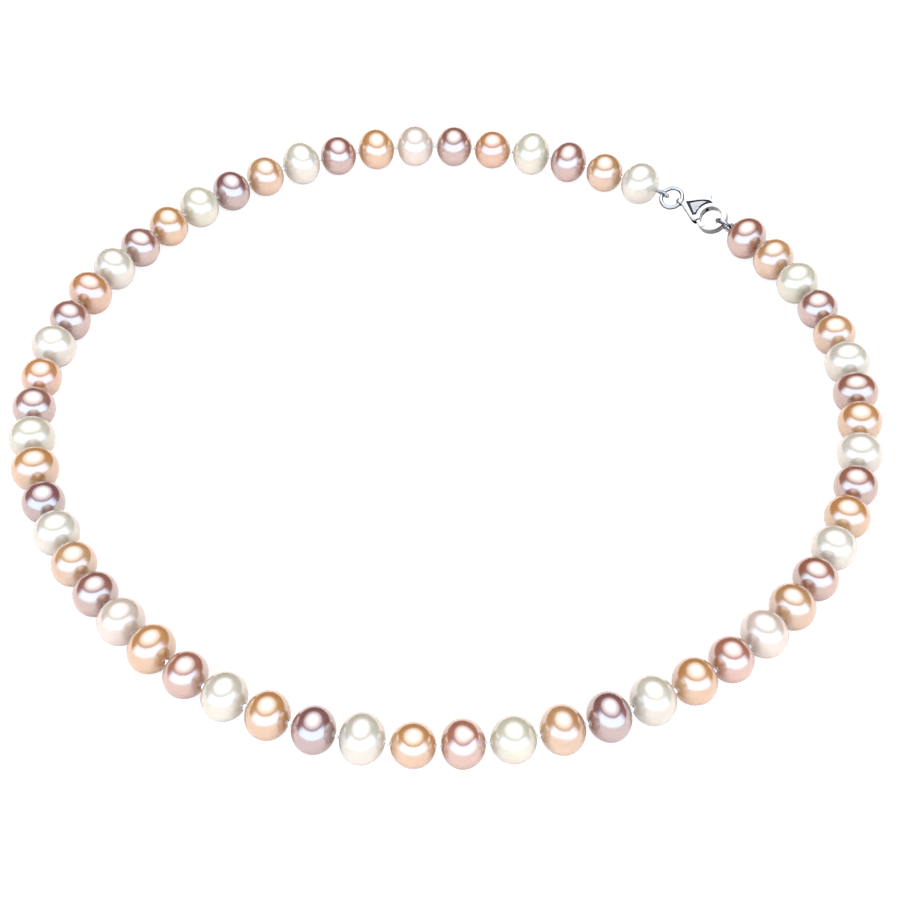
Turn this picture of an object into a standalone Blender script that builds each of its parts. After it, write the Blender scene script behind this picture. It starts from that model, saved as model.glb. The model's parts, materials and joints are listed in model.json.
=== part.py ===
"""A knotted necklace of white, peach and mauve pearls with a silver lobster clasp, lying in a loop.

Lengths are in millimetres until place() and finish() turn them into metres. The loop lies round the
origin in the XY plane, +Z is up, and the pearls rest on z = 0. Bearings are measured from +X towards
+Y. The first pearl is the one beside the jump ring, and the strand runs round from it to the last
pearl, beside the catch ring. Clasp coordinates (u, v, n) start at the middle of the claw: u runs
along the clasp towards the last pearl, v across it towards the thumb tab, and n out of its face.
"""

import math
import random

import bmesh
import bpy
from mathutils import Matrix, Vector

MM = 0.001

# The strand
PEARLS = 57
HUES = ("white", "peach", "mauve")
HALF_LENGTH = {"white": 3.52, "peach": 3.48, "mauve": 3.41}
HALF_WIDTH = {"white": 4.04, "peach": 3.90, "mauve": 3.82}
KNOT_SPACE = 0.638
SPACE_WAVE = 0.076
LOOSEST_AT = 21
CLASP_SPAN = 24.8
FIRST_BEARING = math.radians(58.8)
LOOP_RADIUS = 71.47
# How far the loop strays from a circle: (waves round the loop, cosine part, sine part)
LOOP_WAVES = (
    (1, 0.20, 0.09),
    (2, -1.03, -0.10),
    (3, 0.15, 0.22),
    (4, 0.33, 0.07),
    (5, -0.35, 0.12),
)

# Natural variation between pearls, each as a share of the size
SEED = 19
WIDTH_SPREAD = 0.02
EGG_SPREAD = 0.04
OVAL_SPREAD = 0.015
# Pearls that stand out, with their width as a share of their hue's
STAND_OUT = {
    **{2: 0.95, 5: 0.95, 20: 0.94, 24: 0.96, 35: 0.92, 37: 0.92, 46: 0.95},
    **{3: 1.04, 10: 1.03, 17: 1.06, 23: 1.05, 29: 1.06, 39: 1.04, 51: 1.04, 57: 1.04},
}

# The drill hole, the silk and its knots
BORE = 0.50
SILK = 0.30
KNOT = 0.54
KNOT_HALF = 0.13
PEARL_SIDES = 12
SILK_SIDES = 6
END_SHORT = 0.10
LATITUDES = (-60, -30, 0, 30, 60)

# Arcs of the strand meet at the knots after these pearls, and bend there
BEND_AFTER = (13, 28, 42)
# The knots after these pearls are collars, which join a white pearl and a peach one into one solid
COLLAR_AFTER = (4, 10, 16, 22, 31, 37, 43, 49, 55)
COLLAR = 0.62

# The clasp
CLASP_ROLL = math.radians(28)
CLAW_TO_LAST = 5.10
THICK = 0.85
CLAW_HOLE = 2.0
CLAW_OUTER = (2.85, 3.30)
CLAW_ROOT = math.radians(100)
CHEEK_END = math.radians(218)
EDGE_ROUND = 0.28
SLOT_HALF = 0.50
LEVER_HALF = 0.43
PIN_AT = (-3.3, 0.35)
PIN = 0.35
PIN_HALF = 0.82
PIN_SEAT = 0.37
LEVER_BORE = 0.41
EYE_AT = -7.15
EYE_HOLE = 0.56
EYE_OUTER = 0.92
EYE_HALF = 0.38
GATE_HALF = 0.78
GATE_BAND = (2.08, 2.76)
GATE_START = math.radians(226)
TIP_REACH = 4.34
TIP_GAP = 0.08
SPRING_LOW = 0.18
SPRING_HIGH = 0.38
SPRING_COIL = 0.85
SPRING_ROOM = 1.05
LEG_END = -2.3
LEG_BAND = (0.3, 0.5)
LEG_THIN = 0.03
THROUGH = 2.0

# The links
JUMP_RING = 2.05
JUMP_WIRE = 0.38
JUMP_STEPS = 18
CATCH_AT = 2.98
CATCH_RING = 1.60
CATCH_WIRE = 0.33
CATCH_STEPS = 14
WIRE_SIDES = 8
GIMP = 0.35
FEET_APART = 0.03
WAIST_AT = 0.55
WAIST_OUT = 0.06
LEFT_LOOP_AT = -11.0
LEFT_LOOP = 0.90
RIGHT_LOOP_AT = 4.36
RIGHT_LOOP = 0.80
GIMP_GAP = 0.08

COLOURS = {
    "pearl_white": ((0.93, 0.90, 0.84), 0.16, 0.0),
    "pearl_peach": ((0.88, 0.66, 0.47), 0.16, 0.0),
    "pearl_mauve": ((0.66, 0.46, 0.45), 0.16, 0.0),
    "silk": ((0.92, 0.89, 0.84), 0.80, 0.0),
    "silver": ((0.90, 0.91, 0.93), 0.12, 1.0),
}


# ---------------------------------------------------------------- scene and objects


def clear_scene():
    for obj in list(bpy.data.objects):
        bpy.data.objects.remove(obj, do_unlink=True)


def material(slot):
    found = bpy.data.materials.get(slot)
    if found:
        return found
    colour, roughness, metallic = COLOURS[slot]
    made = bpy.data.materials.new(slot)
    made.use_nodes = True
    shader = made.node_tree.nodes["Principled BSDF"]
    shader.inputs["Base Color"].default_value = (*colour, 1)
    shader.inputs["Roughness"].default_value = roughness
    shader.inputs["Metallic"].default_value = metallic
    return made


def place(obj, location, rotation=None, parent=None):
    """Puts an object at a place in millimetres, measured from its parent."""
    obj.location = Vector(location) * MM
    if rotation is not None:
        obj.rotation_mode = "QUATERNION"
        obj.rotation_quaternion = rotation.to_quaternion()
    obj.parent = parent
    return obj


def empty(name, location, rotation=None, parent=None):
    obj = bpy.data.objects.new(name, None)
    obj.empty_display_size = 5 * MM
    bpy.context.collection.objects.link(obj)
    return place(obj, location, rotation, parent)


def finish(name, bm, slot, smooth=True):
    """Turns a mesh drawn in millimetres into an object, smooth but for its sharp edges."""
    bmesh.ops.scale(bm, vec=(MM, MM, MM), verts=bm.verts)
    bmesh.ops.recalc_face_normals(bm, faces=bm.faces)
    mesh = bpy.data.meshes.new(name)
    bm.to_mesh(mesh)
    bm.free()
    if smooth:
        mesh.shade_smooth()
        mesh.set_sharp_from_angle(angle=math.radians(50))
    mesh.materials.append(material(slot))
    obj = bpy.data.objects.new(name, mesh)
    bpy.context.collection.objects.link(obj)
    return obj


def combine(obj, other, operation):
    """Adds an EXACT Boolean of this object with a hidden helper that shares its parent."""
    other.hide_render = True
    other.display_type = "WIRE"
    modifier = obj.modifiers.new(operation.title(), "BOOLEAN")
    modifier.operation = operation
    modifier.solver = "EXACT"
    modifier.object = other


# ---------------------------------------------------------------- shapes


def loft(rings, closed=False):
    """A closed body through rings of points: capped at both ends, or joined end to end."""
    bm = bmesh.new()
    made = [[bm.verts.new(point) for point in ring] for ring in rings]
    pairs = list(zip(made, made[1:]))
    if closed:
        pairs.append((made[-1], made[0]))
    else:
        bm.faces.new(made[0][::-1])
        bm.faces.new(made[-1])
    sides = len(made[0])
    for first, second in pairs:
        for k in range(sides):
            following = (k + 1) % sides
            bm.faces.new((first[k], first[following], second[following], second[k]))
    return bm


def ring_round(centre, along, radius, sides, up=Vector((0, 0, 1))):
    """Points on a circle square to a direction, the first of them on its up side."""
    across = up.cross(along).normalized()
    rise = along.cross(across).normalized()
    turns = [2 * math.pi * k / sides for k in range(sides)]
    return [centre + radius * (math.cos(a) * rise + math.sin(a) * across) for a in turns]


def tube(points, radius, sides, up):
    """A capped tube along points."""
    rings = []
    for k, point in enumerate(points):
        before = points[max(k - 1, 0)]
        after = points[min(k + 1, len(points) - 1)]
        rings.append(ring_round(point, (after - before).normalized(), radius, sides, up))
    return loft(rings)


def prism(outline, low, high):
    """An outline in (u, v), extruded along n."""
    bm = bmesh.new()
    face = bm.faces.new([bm.verts.new((u, v, low)) for u, v in outline])
    grown = bmesh.ops.extrude_face_region(bm, geom=[face])
    moved = [item for item in grown["geom"] if isinstance(item, bmesh.types.BMVert)]
    bmesh.ops.translate(bm, vec=(0, 0, high - low), verts=moved)
    return bm


def arc(centre, radius, start, end, steps):
    """Points on an arc in (u, v). A pair of radii makes the arc grow from one to the other."""
    first, last = radius if isinstance(radius, tuple) else (radius, radius)
    points = []
    for k in range(steps + 1):
        share = k / steps
        angle = start + (end - start) * share
        size = first + (last - first) * share
        points.append((centre[0] + size * math.cos(angle), centre[1] + size * math.sin(angle)))
    return points


def circle(centre, radius, sides):
    return arc(centre, radius, 0, 2 * math.pi, sides)[:-1]


# ---------------------------------------------------------------- the strand's layout


def loop_point(bearing, radius):
    """A point on the strand's middle line, a circle with a few shallow waves."""
    for order, cosine, sine in LOOP_WAVES:
        radius += cosine * math.cos(order * bearing) + sine * math.sin(order * bearing)
    return Vector((radius * math.cos(bearing), radius * math.sin(bearing), 0))


def hue(index):
    return HUES[index % len(HUES)]


def pearl_size(index):
    """(half length, half width, egg, oval, turn of the oval) of one pearl."""
    chance = random.Random(SEED + index)
    length = HALF_LENGTH[hue(index)]
    share = 1 + WIDTH_SPREAD * chance.uniform(-1, 1)
    width = HALF_WIDTH[hue(index)] * STAND_OUT.get(index + 1, share)
    egg = EGG_SPREAD * chance.uniform(-1, 1)
    oval = OVAL_SPREAD * chance.uniform(0, 1)
    return length, width, egg, oval, chance.uniform(0, math.pi)


def knot_space(index):
    """The gap between a pearl and the one before it. The strand is a little looser on one side."""
    return KNOT_SPACE + SPACE_WAVE * math.cos(2 * math.pi * (index - LOOSEST_AT) / PEARLS)


def walk(radius):
    """The pearls' places along a loop of this radius."""
    bearing = FIRST_BEARING
    places = [loop_point(bearing, radius)]
    for index in range(1, PEARLS):
        pitch = HALF_LENGTH[hue(index - 1)] + knot_space(index) + HALF_LENGTH[hue(index)]
        step = pitch / radius
        for _ in range(4):
            reached = (loop_point(bearing + step, radius) - places[-1]).length
            step *= pitch / reached
        bearing += step
        places.append(loop_point(bearing, radius))
    return places


def pearl_places():
    """The pearls' places once the loop's radius leaves just the clasp's span open."""
    low, high = 0.9 * LOOP_RADIUS, 1.1 * LOOP_RADIUS
    for _ in range(40):
        middle = (low + high) / 2
        places = walk(middle)
        if (places[0] - places[-1]).length < CLASP_SPAN:
            low = middle
        else:
            high = middle
    return places


def directions(places):
    """Each pearl's axis: level, and halfway between the directions to its two neighbours."""
    found = []
    for k, here in enumerate(places):
        before = places[k - 1]
        after = places[(k + 1) % len(places)]
        found.append(((here - before).normalized() + (after - here).normalized()).normalized())
    return found


# ---------------------------------------------------------------- pearls


def pearl_ring(index, degrees):
    """One ring of a pearl's skin, square to its axis, in its own frame."""
    length, width, egg, oval, turned = pearl_size(index)
    angle = math.radians(degrees)
    along = length * math.sin(angle)
    radius = width * math.cos(angle) * (1 + egg * math.sin(angle))
    points = []
    for k in range(PEARL_SIDES):
        turn = 2 * math.pi * k / PEARL_SIDES
        size = radius * (1 + oval * (math.cos(2 * (turn - turned)) - 1))
        points.append(Vector((along, size * math.sin(turn), size * math.cos(turn))))
    return points


def rim_at(index):
    """How far along its axis a pearl's skin meets its drill hole."""
    length, width = pearl_size(index)[:2]
    return length * math.sqrt(1 - (BORE / width) ** 2)


def circle_along(along, radius, sides=PEARL_SIDES):
    turns = [2 * math.pi * k / sides for k in range(sides)]
    return [Vector((along, radius * math.sin(a), radius * math.cos(a))) for a in turns]


def skin(index, first_rim=BORE, last_rim=BORE):
    """A pearl's rings from rim to rim."""
    rim = rim_at(index)
    middle = [pearl_ring(index, degrees) for degrees in LATITUDES]
    return [circle_along(-rim, first_rim), *middle, circle_along(rim, last_rim)]


def rest_height(index):
    """How high a pearl's axis is when the pearl rests on the ground."""
    return -min(point.z for ring in skin(index) for point in ring)


def frame_of(strand, index):
    """The matrix from a pearl's own frame, X along its hole, to the world, in millimetres."""
    places, ways = strand
    turn = math.atan2(ways[index].y, ways[index].x)
    height = Vector((0, 0, rest_height(index)))
    return Matrix.Translation(places[index] + height) @ Matrix.Rotation(turn, 4, "Z")


def add_pearl(strand, index, parent):
    name = f"pearl_{index + 1:02d}_{hue(index)}"
    obj = finish(name, loft(skin(index), closed=True), f"pearl_{hue(index)}")
    put(obj, frame_of(strand, index), parent)


def add_pair(strand, index, parent):
    """Two neighbours whose knot is a collar round the silk, which makes them one solid."""
    after = index + 1
    base = frame_of(strand, index)
    across = base.inverted() @ frame_of(strand, after)
    first = skin(index, BORE, COLLAR)
    second = [[across @ p for p in ring] for ring in skin(after, COLLAR, BORE)]
    middle = Vector((rim_at(index), 0, 0)).lerp(across @ Vector((-rim_at(after), 0, 0)), 0.5)
    halfway = Matrix.Translation(middle) @ across.to_quaternion().slerp(
        Matrix.Identity(4).to_quaternion(), 0.5
    ).to_matrix().to_4x4()
    collar = [halfway @ point for point in circle_along(0, COLLAR)]
    hole = [halfway @ point for point in circle_along(0, BORE)]
    name = f"pearls_{index + 1:02d}_{after + 1:02d}_{hue(index)}_{hue(after)}"
    rings = first + [collar] + second + [hole]
    obj = finish(name, loft(rings, closed=True), f"pearl_{hue(index)}")
    put(obj, base, parent)


def put(obj, matrix, parent):
    """Places an object by its world matrix, in millimetres, under a parent that isn't turned."""
    location = matrix.translation - parent.location / MM
    place(obj, location, matrix.to_3x3(), parent)


# ---------------------------------------------------------------- the silk


def knot_middle(strand, index):
    """The middle of the knot between a pearl and the one after it."""
    before = frame_of(strand, index) @ Vector((rim_at(index), 0, 0))
    after = frame_of(strand, index + 1) @ Vector((-rim_at(index + 1), 0, 0))
    return (before + after) / 2


def knot_rings(strand, index):
    """The two widest rings of a knot."""
    middle = knot_middle(strand, index)
    along = (strand[1][index] + strand[1][index + 1]).normalized()
    return [
        ring_round(middle - along * KNOT_HALF, along, KNOT, SILK_SIDES),
        ring_round(middle + along * KNOT_HALF, along, KNOT, SILK_SIDES),
    ]


def silk_rings(strand, index, start_short, end_short):
    """The two ends of the straight silk inside a pearl, each cut short by an amount."""
    frame = frame_of(strand, index)
    reach = rim_at(index)
    ends = (start_short - reach, reach - end_short)
    return [[frame @ p for p in circle_along(end, SILK, SILK_SIDES)] for end in ends]


def add_silk(strand, name, first, last, knot_before, knot_after, parent):
    """The silk of one arc, through the pearls first to last, with a knot between each two."""
    rings = knot_rings(strand, first - 1) if knot_before else []
    for index in range(first, last + 1):
        start = 0.0 if index > first or knot_before else END_SHORT
        end = 0.0 if index < last or knot_after else END_SHORT
        rings += silk_rings(strand, index, start, end)
        if index + 1 in COLLAR_AFTER:
            continue
        if index < last or knot_after:
            rings += knot_rings(strand, index)
    origin = parent.location / MM
    bm = loft([[point - origin for point in ring] for ring in rings])
    obj = finish(name, bm, "silk")
    place(obj, (0, 0, 0), parent=parent)


# ---------------------------------------------------------------- the clasp


def bearing_at(radius, reach):
    """Where a circle round the claw's middle, below it, meets a circle of this reach round the pin."""
    apart = math.hypot(*PIN_AT)
    turn = math.acos((radius ** 2 + apart ** 2 - reach ** 2) / (2 * radius * apart))
    return math.atan2(PIN_AT[1], PIN_AT[0]) + turn


def claw_outline():
    """The body seen from its face: round the hook, up the back to the eye, and round the hole."""
    tip = bearing_at(CLAW_OUTER[0], TIP_REACH) - 2 * math.pi
    outer = arc((0, 0), CLAW_OUTER, tip, CLAW_ROOT, 14)
    back = [(-1.7, 3.22), (-2.9, 2.78), (-4.1, 2.02), (-5.3, 1.18), (-6.5, 0.56)]
    belly = [(-6.5, -0.50), (-5.3, -1.02), (-4.1, -1.62), (-2.95, -2.14), (-2.3, -2.18)]
    inner_tip = bearing_at(CLAW_HOLE, TIP_REACH) - 2 * math.pi
    inner = arc((0, 0), CLAW_HOLE, CHEEK_END, inner_tip, 16)
    return outer + back + belly + inner


def slot_outline():
    return [(-5.7, -3.2), (-1.0, -3.2), (-1.0, 0.0), (-1.5, 1.25), (-1.5, 4.2), (-5.7, 4.2)]


def gate_ends():
    """Bearings of the gate's end at its inner and outer edge, where it swings clear of the tip."""
    return [bearing_at(radius, TIP_REACH - TIP_GAP) for radius in GATE_BAND]


def lever_outline():
    """The gate that closes the claw, the hub round the pin, and the thumb tab."""
    inner_end, outer_end = gate_ends()
    gate_out = arc((0, 0), GATE_BAND[1], outer_end, math.radians(222), 4)
    heel = [(-2.95, -1.25), (-3.75, -0.45), (-4.15, 0.35), (-3.95, 1.05)]
    tab = [(-3.45, 2.45), (-3.45, 3.75), (-3.15, 4.25), (-2.75, 4.15), (-2.15, 3.1)]
    waist = [(-1.85, 2.2), (-1.95, 1.3)]
    gate_in = arc((0, 0), GATE_BAND[0], math.radians(165), inner_end, 9)
    return gate_out + heel + tab + waist + gate_in


def gate_outline():
    """The part of the gate outside the slot, which is nearly as thick as the body."""
    inner, outer = GATE_BAND
    inner_end, outer_end = gate_ends()
    return arc((0, 0), outer, outer_end, GATE_START, 4) + arc((0, 0), inner, GATE_START, inner_end, 5)


def helper(name, bm, parent):
    obj = finish(name, bm, "silver", smooth=False)
    return place(obj, (0, 0, 0), parent=parent)


def along_v(bm, u):
    """Turns a prism drawn round the origin so that it runs along v, at this u."""
    turn = Matrix.Translation((u, 0, 0)) @ Matrix.Rotation(math.pi / 2, 4, "X")
    bmesh.ops.transform(bm, matrix=turn, verts=bm.verts)
    return bm


def add_clasp_body(parent):
    obj = finish("clasp_body", prism(claw_outline(), -THICK, THICK), "silver")
    place(obj, (0, 0, 0), parent=parent)
    rounding = obj.modifiers.new("Round", "BEVEL")
    rounding.width = EDGE_ROUND * MM
    rounding.segments = 2
    rounding.limit_method = "ANGLE"
    rounding.angle_limit = math.radians(70)
    eye = along_v(prism(circle((0, 0), EYE_OUTER, 16), -EYE_HALF, EYE_HALF), EYE_AT)
    combine(obj, helper("cutter_eye_wall", eye, parent), "UNION")
    hole = along_v(prism(circle((0, 0), EYE_HOLE, 14), -THROUGH, THROUGH), EYE_AT)
    combine(obj, helper("cutter_eye_hole", hole, parent), "DIFFERENCE")
    slot = prism(slot_outline(), -SLOT_HALF, SLOT_HALF)
    combine(obj, helper("cutter_slot", slot, parent), "DIFFERENCE")
    seat = prism(circle(PIN_AT, PIN_SEAT, 16), -THROUGH, THROUGH)
    combine(obj, helper("cutter_pin_seat", seat, parent), "DIFFERENCE")


def about_pin(points):
    return [(u - PIN_AT[0], v - PIN_AT[1]) for u, v in points]


def add_lever(parent):
    """The lever's parent empty is on the pin, which it turns about."""
    hinge = empty("lever_hinge", (*PIN_AT, 0), parent=parent)
    plate = prism(about_pin(lever_outline()), -LEVER_HALF, LEVER_HALF)
    obj = finish("clasp_lever", plate, "silver")
    place(obj, (0, 0, 0), parent=hinge)
    gate = prism(about_pin(gate_outline()), -GATE_HALF, GATE_HALF)
    combine(obj, helper("cutter_gate", gate, hinge), "UNION")
    bore = prism(circle((0, 0), LEVER_BORE, 16), -THROUGH, THROUGH)
    combine(obj, helper("cutter_lever_bore", bore, hinge), "DIFFERENCE")
    recess = prism(circle((0, 0), SPRING_ROOM, 16), SPRING_LOW - GIMP_GAP, THROUGH)
    combine(obj, helper("cutter_spring_recess", recess, hinge), "DIFFERENCE")


def add_pin(parent):
    obj = finish("clasp_pin", prism(circle((0, 0), PIN, 16), -PIN_HALF, PIN_HALF), "silver")
    place(obj, (*PIN_AT, 0), parent=parent)


def add_spring(parent):
    """A flat coil round the pin, with a leg that bears on the closed end of the slot."""
    coil = prism(circle((0, 0), SPRING_COIL, 16), SPRING_LOW, SPRING_HIGH)
    obj = finish("clasp_spring", coil, "silver")
    place(obj, (*PIN_AT, 0), parent=parent)
    low, high = LEG_BAND
    outline = [(LEG_END, high), (LEG_END, low), (-LEVER_BORE, low), (-LEVER_BORE, high)]
    leg = prism(outline, SPRING_LOW + LEG_THIN, SPRING_HIGH - LEG_THIN)
    bmesh.ops.translate(leg, vec=(*PIN_AT, 0), verts=leg.verts)
    combine(obj, helper("cutter_spring_leg", leg, parent), "UNION")
    bore = prism(circle(PIN_AT, LEVER_BORE, 16), -THROUGH, THROUGH)
    combine(obj, helper("cutter_spring_bore", bore, parent), "DIFFERENCE")


def add_ring(name, at, radius, wire, plane, sides, parent):
    """A round ring of wire whose middle line lies in the plane of u and this direction."""
    square = Vector((1, 0, 0)).cross(plane)
    rings = []
    for k in range(sides):
        angle = 2 * math.pi * (k + 0.5) / sides
        out = math.cos(angle) * Vector((1, 0, 0)) + math.sin(angle) * plane
        way = -math.sin(angle) * Vector((1, 0, 0)) + math.cos(angle) * plane
        rings.append(ring_round(out * radius, way, wire, WIRE_SIDES, square))
    obj = finish(name, loft(rings, closed=True), "silver")
    place(obj, (at, 0, 0), parent=parent)


def add_gimp(name, tip_at, radius, plane, pearl, inward, parent):
    """A hairpin of French wire round a link, both its ends held against the pearl's drill hole."""
    u_way = Vector((inward, 0, 0))
    tip = Vector((tip_at, 0, 0))
    bend = []
    for k in range(7):
        angle = math.radians(90 - 30 * k)
        bend.append(tip + radius * (math.cos(angle) * u_way + math.sin(angle) * plane))
    feet = []
    for side in (1, -1):
        foot = pearl + plane * (side * (GIMP + FEET_APART)) + u_way * GIMP_GAP
        near = bend[0] if side == 1 else bend[-1]
        waist = foot.lerp(near, WAIST_AT) + plane * (side * WAIST_OUT)
        feet.append([foot, waist])
    points = feet[0] + bend + feet[1][::-1]
    square = u_way.cross(plane)
    obj = finish(name, tube(points, GIMP, WIRE_SIDES, square), "silver")
    place(obj, (0, 0, 0), parent=parent)


# ---------------------------------------------------------------- the whole


def clasp_frame(strand):
    """The clasp's matrix, in millimetres: u level, along the line between the end pearls' poles."""
    first = frame_of(strand, 0)
    last = frame_of(strand, PEARLS - 1)
    pole_first = first @ Vector((-rim_at(0), 0, 0))
    pole_last = last @ Vector((rim_at(PEARLS - 1), 0, 0))
    height = (pole_first.z + pole_last.z) / 2
    run = pole_last - pole_first
    run.z = 0
    u = run.normalized()
    centre = Vector((pole_last.x, pole_last.y, height)) - u * CLAW_TO_LAST
    flat = Matrix.Rotation(math.atan2(u.y, u.x), 4, "Z")
    return Matrix.Translation(centre) @ flat @ Matrix.Rotation(CLASP_ROLL, 4, "X")


def arc_of(index):
    """Which arc of the strand a pearl is on."""
    return sum(index >= bend for bend in BEND_AFTER)


def add_strand(strand, parents):
    for index in range(PEARLS):
        parent = parents[arc_of(index)]
        if index in COLLAR_AFTER:
            continue
        if index + 1 in COLLAR_AFTER:
            add_pair(strand, index, parent)
        else:
            add_pearl(strand, index, parent)
    ends = (0, *BEND_AFTER, PEARLS)
    knots = ((False, False), (True, True), (False, False), (True, False))
    for number, (before, after) in enumerate(knots):
        name = f"silk_{'abcd'[number]}"
        add_silk(strand, name, ends[number], ends[number + 1] - 1, before, after, parents[number])


def add_clasp(strand, parents):
    frame = clasp_frame(strand)
    across = Vector((0, 1, 0))
    out = Vector((0, 0, 1))
    turned = frame.to_3x3()
    on_first = empty("clasp_line", frame.translation - parents[0].location / MM, turned, parents[0])
    on_last = empty("catch_line", frame.translation - parents[3].location / MM, turned, parents[3])
    add_clasp_body(on_first)
    add_lever(on_first)
    add_pin(on_first)
    add_spring(on_first)
    jump_at = EYE_AT - JUMP_RING
    add_ring("jump_ring", jump_at, JUMP_RING, JUMP_WIRE, across, JUMP_STEPS, on_first)
    add_ring("catch_ring", CATCH_AT, CATCH_RING, CATCH_WIRE, out, CATCH_STEPS, on_last)
    into = frame.inverted()
    last = PEARLS - 1
    pole_first = into @ frame_of(strand, 0) @ Vector((-rim_at(0), 0, 0))
    pole_last = into @ frame_of(strand, last) @ Vector((rim_at(last), 0, 0))
    add_gimp("french_wire_first", LEFT_LOOP_AT, LEFT_LOOP, out, pole_first, 1, on_first)
    add_gimp("french_wire_last", RIGHT_LOOP_AT, RIGHT_LOOP, across, pole_last, -1, on_last)


def main():
    clear_scene()
    places = pearl_places()
    strand = (places, directions(places))
    bends = [knot_middle(strand, after - 1) for after in BEND_AFTER]
    arcs = (bends[0], Vector((0, 0, 0)), bends[1], bends[2])
    parents = [empty(f"arc_{letter}", place_of) for letter, place_of in zip("abcd", arcs)]
    add_strand(strand, parents)
    add_clasp(strand, parents)


main()
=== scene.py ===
"""The looks of a knotted pearl necklace: nacre, twisted silk, French wire and a polished silver clasp.

Lengths are in millimetres until build() turns a mesh into an object in metres. The strand's layout
repeats the model's own: the loop lies round the origin, the pearls rest on z = 0, and the first pearl
is the one beside the jump ring. A pearl's own frame has X along its drill hole and Z up. Clasp
coordinates (u, v, n) start at the middle of the claw: u runs towards the last pearl, v across the
clasp towards the thumb tab, and n out of its face.
"""

import json
import math
import random

import bmesh
import bpy
from mathutils import Matrix, Vector, noise

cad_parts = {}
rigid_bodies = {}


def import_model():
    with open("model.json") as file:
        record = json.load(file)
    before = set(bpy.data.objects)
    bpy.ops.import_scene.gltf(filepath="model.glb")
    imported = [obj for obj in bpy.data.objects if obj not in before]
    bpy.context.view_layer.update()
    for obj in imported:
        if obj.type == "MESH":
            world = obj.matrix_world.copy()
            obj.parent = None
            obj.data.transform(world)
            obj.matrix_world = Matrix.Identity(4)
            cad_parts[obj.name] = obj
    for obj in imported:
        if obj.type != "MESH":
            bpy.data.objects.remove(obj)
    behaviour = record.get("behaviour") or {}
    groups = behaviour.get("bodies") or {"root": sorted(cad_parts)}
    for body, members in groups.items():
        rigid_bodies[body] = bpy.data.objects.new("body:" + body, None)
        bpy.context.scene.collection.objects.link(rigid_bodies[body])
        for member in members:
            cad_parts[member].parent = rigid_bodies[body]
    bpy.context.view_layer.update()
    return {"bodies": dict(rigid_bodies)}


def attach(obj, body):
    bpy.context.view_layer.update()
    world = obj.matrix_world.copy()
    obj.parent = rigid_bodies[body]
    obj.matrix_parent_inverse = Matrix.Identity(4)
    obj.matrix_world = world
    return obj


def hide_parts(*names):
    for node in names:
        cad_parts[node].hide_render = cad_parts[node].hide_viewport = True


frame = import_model()

MM = 0.001
PAINTED_SHADE = "shade"

# The strand, as in the model
PEARLS = 57
HUES = ("white", "peach", "mauve")
HALF_LENGTH = {"white": 3.52, "peach": 3.48, "mauve": 3.41}
HALF_WIDTH = {"white": 4.04, "peach": 3.90, "mauve": 3.82}
KNOT_SPACE = 0.638
SPACE_WAVE = 0.076
LOOSEST_AT = 21
CLASP_SPAN = 24.8
FIRST_BEARING = math.radians(58.8)
LOOP_RADIUS = 71.47
LOOP_WAVES = (
    (1, 0.20, 0.09),
    (2, -1.03, -0.10),
    (3, 0.15, 0.22),
    (4, 0.33, 0.07),
    (5, -0.35, 0.12),
)
SEED = 19
WIDTH_SPREAD = 0.02
EGG_SPREAD = 0.04
OVAL_SPREAD = 0.015
# Pearls that stand out, with their width as a share of their hue's
STAND_OUT = {
    **{2: 0.95, 5: 0.95, 20: 0.94, 24: 0.96, 35: 0.92, 37: 0.92, 46: 0.95},
    **{3: 1.04, 10: 1.03, 17: 1.06, 23: 1.05, 29: 1.06, 39: 1.04, 51: 1.04, 57: 1.04},
}
BORE = 0.50
PEARL_SIDES = 12
LATITUDES = (-60, -30, 0, 30, 60)
BEND_AFTER = (13, 28, 42)
PAIR_AFTER = (4, 10, 16, 22, 31, 37, 43, 49, 55)

# The clasp and its links, as in the model
CLASP_ROLL = math.radians(28)
CLAW_TO_LAST = 5.10
THICK = 0.85
CLAW_HOLE = 2.0
CLAW_OUTER = (2.85, 3.30)
CLAW_ROOT = math.radians(100)
CHEEK_END = math.radians(218)
SLOT_HALF = 0.50
LEVER_HALF = 0.43
PIN_AT = (-3.3, 0.35)
PIN = 0.35
LEVER_BORE = 0.41
EYE_AT = -7.15
EYE_HOLE = 0.56
EYE_OUTER = 0.92
EYE_HALF = 0.38
GATE_HALF = 0.78
GATE_BAND = (2.08, 2.76)
GATE_START = math.radians(226)
TIP_REACH = 4.34
TIP_GAP = 0.08
SPRING_LOW = 0.18
SPRING_HIGH = 0.38
JUMP_RING = 2.05
JUMP_WIRE = 0.38
CATCH_AT = 2.98
CATCH_RING = 1.60
CATCH_WIRE = 0.33
GIMP = 0.35
LEFT_LOOP_AT = -11.0
LEFT_LOOP = 0.90
RIGHT_LOOP_AT = 4.36
RIGHT_LOOP = 0.80
GIMP_GAP = 0.08

# The pearls' finish
SKIN_SIDES = 48
SKIN_RINGS = 26
HOLE = 0.40
CHAMFER = 0.07
LUMP = 0.010
LUMP_SCALE = 0.30
SHARP = math.radians(40)
CASTING_SHARP = math.radians(35)

# ---------------------------------------------------------------- the strand's layout


def loop_point(bearing, radius):
    """A point on the strand's middle line, a circle with a few shallow waves."""
    for order, cosine, sine in LOOP_WAVES:
        radius += cosine * math.cos(order * bearing) + sine * math.sin(order * bearing)
    return Vector((radius * math.cos(bearing), radius * math.sin(bearing), 0))


def hue(index):
    return HUES[index % len(HUES)]


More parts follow.
